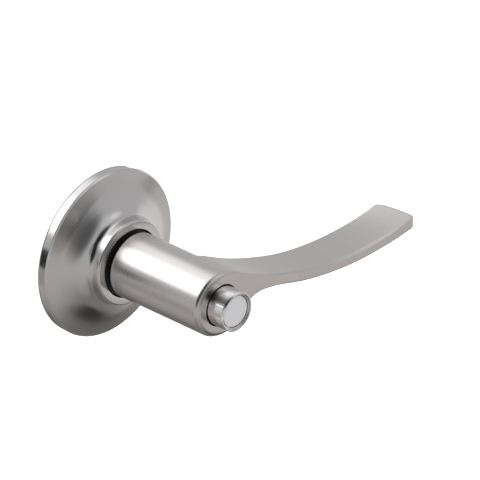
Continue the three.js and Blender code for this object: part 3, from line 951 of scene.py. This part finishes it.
def coil(name, radius, wire, turns, length, place):
    """Compression spring with closed ends; place(x, along, z) puts its points into the frame."""
    span = length - wire
    bm = bmesh.new()
    rings = []
    for turn in np.linspace(0, turns, 48 * turns + 1):
        rise = wire / 2 + np.interp(turn, (0, 1, turns - 1, turns), (0, wire, span - wire, span))
        angle = 2 * math.pi * turn
        ring = []
        for t in np.linspace(0, 2 * math.pi, 14, endpoint=False):
            reach = radius + wire / 2 * math.cos(t)
            point = reach * math.cos(angle), rise + wire / 2 * math.sin(t), reach * math.sin(angle)
            ring.append(bm.verts.new(place(*point)))
        rings.append(ring)
    join_rings(bm, rings)
    return finish_mesh(bm, name, sharp=50)


def button_spring():
    """Spring round the rod: it is compressed from its front end as the button goes in."""
    wire = 0.9
    back, out = BUTTON_COIL["out"]
    radius = BUTTON_COIL["x"][1] - wire / 2

    def place(x, along, z):
        return x, -back - along, z

    return coil("push_spring", radius, wire, 5, out - back, place)


def catch_spring():
    """Spring of the release pin: it is compressed from below as the pin is pushed in."""
    wire = 0.45
    foot, top = CATCH_COIL["z"]
    radius = CATCH_COIL["x"][1] - wire / 2

    def place(x, along, z):
        return x, z - CATCH_OUT, top - along

    return coil("pin_spring", radius, wire, 4, top - foot, place)


def compress(piece):
    """Gives the spring a mesh of its own; its shape is not changed."""
    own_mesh(piece)


# ------------------------------------------------------------------ build

stand_for(rose(), "rose", "trim")
stand_for(bush(), "bearing_bush", "trim")
stand_for(mount_plate(), "mount_plate", "trim")
for number, rivet_place in enumerate(RIVET_PLACES, 1):
    stand_for(rivet(number, rivet_place), f"cage_rivet_{number}", "trim")
for number, screw_side in enumerate(SCREW_SIDES, 1):
    stand_for(screw(number, screw_side), f"mounting_screw_{number}", "trim")
stand_for(lever(), "lever", "lever")
stand_for(drive_hub(), "drive_hub", "lever")
stand_for(thrust_washer(), "thrust_washer", "lever")
stand_for(retaining_ring(), "retaining_ring", "lever")
stand_for(spindle(), "spindle", "lever")
stand_for(button_guide(), "button_guide", "lever")
# the cap takes the steel with painted shade bands
stand_for(button_cap(), "button_cap", "button", TURNED_WITH_PAINTED_BANDS)
stand_for(button_insert(), "button_insert", "button")
stand_for(lock_bar(), "lock_bar", "button")

push_spring = stand_for(button_spring(), "button_spring", "lever")
compress(push_spring)
pin_spring = stand_for(catch_spring(), "catch_spring", "lever")
compress(pin_spring)

for name, cad_node in frame["nodes"].items():
    if not cad_node.hide_render:
        cad_node.data.materials.clear()
        cad_node.data.materials.append(SLOT_MATERIAL[NODE_SLOT[name]])


# ------------------------------------------------------------------ camera, floor and light

# The photograph's view: the bearing and height of the camera, its scale and the point that it is aimed at.
AZIMUTH, ELEVATION = math.radians(-45.38), math.radians(27.54)
LENS = 800.0
SENSOR = 36.0
IMAGE = 480
PIXELS_PER_MM = 2.679
AIM_RIGHT, AIM_UP = 51.87, 3.49
FLOOR_DROP = -0.16


def camera():
    """Long lens at the photograph's angle, aimed to frame the handle as it does."""
    toward = Vector((
        math.sin(AZIMUTH) * math.cos(ELEVATION),
        -math.cos(AZIMUTH) * math.cos(ELEVATION),
        math.sin(ELEVATION),
    ))
    right = Vector((math.cos(AZIMUTH), math.sin(AZIMUTH), 0))
    up = toward.cross(right)
    distance = IMAGE * LENS / SENSOR / PIXELS_PER_MM
    data = bpy.data.cameras.new("camera")
    data.lens = LENS
    data.sensor_width = SENSOR
    data.clip_end = 50
    made = bpy.data.objects.new("camera", data)
    made.location = (right * AIM_RIGHT + up * AIM_UP + toward * distance) * MM
    made.rotation_mode = "QUATERNION"
    made.rotation_quaternion = (-toward).to_track_quat("-Z", "Y")
    bpy.context.scene.collection.objects.link(made)
    bpy.context.scene.camera = made


def floor():
    """Plain white floor well below the handle."""
    bm = bmesh.new()
    bmesh.ops.create_grid(bm, x_segments=1, y_segments=1, size=4000)
    piece = finish_mesh(bm, "floor")
    piece.location.z = FLOOR_DROP
    material, _, shader = new_material("white_floor")
    shader.inputs["Base Color"].default_value = (0.9, 0.9, 0.9, 1)
    shader.inputs["Roughness"].default_value = 0.9
    shader.inputs["Emission Color"].default_value = (1, 1, 1, 1)
    shader.inputs["Emission Strength"].default_value = 0.8
    piece.data.materials.append(material)
    piece.visible_glossy = False


def flag():
    """Small black card just behind the rose's left side, which only reflections see."""
    bm = bmesh.new()
    bmesh.ops.create_grid(bm, x_segments=1, y_segments=1, size=0.5)
    bmesh.ops.scale(bm, vec=(20, 28, 1), verts=bm.verts)
    piece = finish_mesh(bm, "flag")
    piece.location = Vector((-80, 34, 4)) * MM
    piece.rotation_mode = "QUATERNION"
    piece.rotation_quaternion = Vector(direction(-129, -3)).to_track_quat("Z", "Y")
    material, _, shader = new_material("black_card")
    shader.inputs["Base Color"].default_value = (0.01, 0.009, 0.008, 1)
    shader.inputs["Roughness"].default_value = 1
    piece.data.materials.append(material)
    piece.visible_camera = False


def direction(azimuth, elevation):
    """Unit vector towards a place in the studio: azimuth 0 is the user's side, 90 is +X."""
    a, e = math.radians(azimuth), math.radians(elevation)
    return math.sin(a) * math.cos(e), -math.cos(a) * math.cos(e), math.sin(e)


def soft_edge(tree, value, edges, levels):
    """Goes smoothly from one level to the other as the value passes from one edge to the other."""
    return mapped(tree, value, edges, levels, "SMOOTHSTEP")


# Panels round the handle: azimuth, elevation, half-width of the even middle and of the whole, in degrees,
# and brightness. Where the brightness is below zero there is a dark gap in the tent.
PANELS = [
    (-146, 38, 10, 24, 2.4),
    (-172, 48, 12, 40, 0.8),
    (98, -18, 20, 35, 0.27),
    (45, -26, 6, 16, 0.16),
    (-160, -45, 8, 28, 0.06),
    (-35, -52, 8, 22, 0.12),
    (22, 50, 8, 24, 0.16),
    (45, 43, 5, 14, 0.28),
    (-62, 46, 12, 24, -0.45),
    (-133, -23, 5, 14, -0.2),
    (163, -48, 8, 22, -0.14),
    (-88, 20, 14, 28, -0.57),
    (-55, 24, 9, 20, -0.28),
    (-60, 66, 14, 34, -0.5),
    (-3, 9, 10, 30, -0.46),
    (22, -9, 5, 13, -0.37),
    (46, -48, 12, 22, -0.22),
]


def studio():
    """Soft studio: an even tent, darker underneath, with large soft panels and dark gaps between them."""
    world = bpy.data.worlds.new("studio")
    world.use_nodes = True
    bpy.context.scene.world = world
    tree = world.node_tree
    link = tree.links.new
    background = tree.nodes["Background"]
    place = node(tree, "ShaderNodeTexCoord")
    split = node(tree, "ShaderNodeSeparateXYZ")
    link(place.outputs["Generated"], split.inputs[0])
    level = soft_edge(tree, split.outputs["Z"], (-0.9, -0.4), (0.25, 0.58))
    for azimuth, elevation, inner, outer, amount in PANELS:
        dot = node(tree, "ShaderNodeVectorMath", operation="DOT_PRODUCT")
        dot.inputs[1].default_value = direction(azimuth, elevation)
        link(place.outputs["Generated"], dot.inputs[0])
        edges = math.cos(math.radians(outer)), math.cos(math.radians(inner))
        total = node(tree, "ShaderNodeMath", operation="ADD")
        link(level, total.inputs[0])
        link(soft_edge(tree, dot.outputs["Value"], edges, (0, amount)), total.inputs[1])
        level = total.outputs[0]
    darkest = node(tree, "ShaderNodeMath", operation="MAXIMUM")
    darkest.inputs[1].default_value = 0.02
    link(level, darkest.inputs[0])
    tint = node(tree, "ShaderNodeMix", data_type="RGBA")
    tint.inputs["A"].default_value = (1.03, 0.99, 0.96, 1)
    tint.inputs["B"].default_value = (1, 1, 1.01, 1)
    link(soft_edge(tree, split.outputs["Z"], (-0.7, 0.1), (0, 1)), tint.inputs["Factor"])
    link(tint.outputs["Result"], background.inputs["Color"])
    link(darkest.outputs[0], background.inputs["Strength"])
    white = node(tree, "ShaderNodeBackground")
    white.inputs["Color"].default_value = (1, 1, 1, 1)
    rays = node(tree, "ShaderNodeLightPath")
    choose = node(tree, "ShaderNodeMixShader")
    link(rays.outputs["Is Camera Ray"], choose.inputs["Fac"])
    link(background.outputs[0], choose.inputs[1])
    link(white.outputs[0], choose.inputs[2])
    link(choose.outputs[0], tree.nodes["World Output"].inputs["Surface"])


camera()
floor()
flag()
studio()
bpy.context.scene.view_settings.view_transform = "Standard"
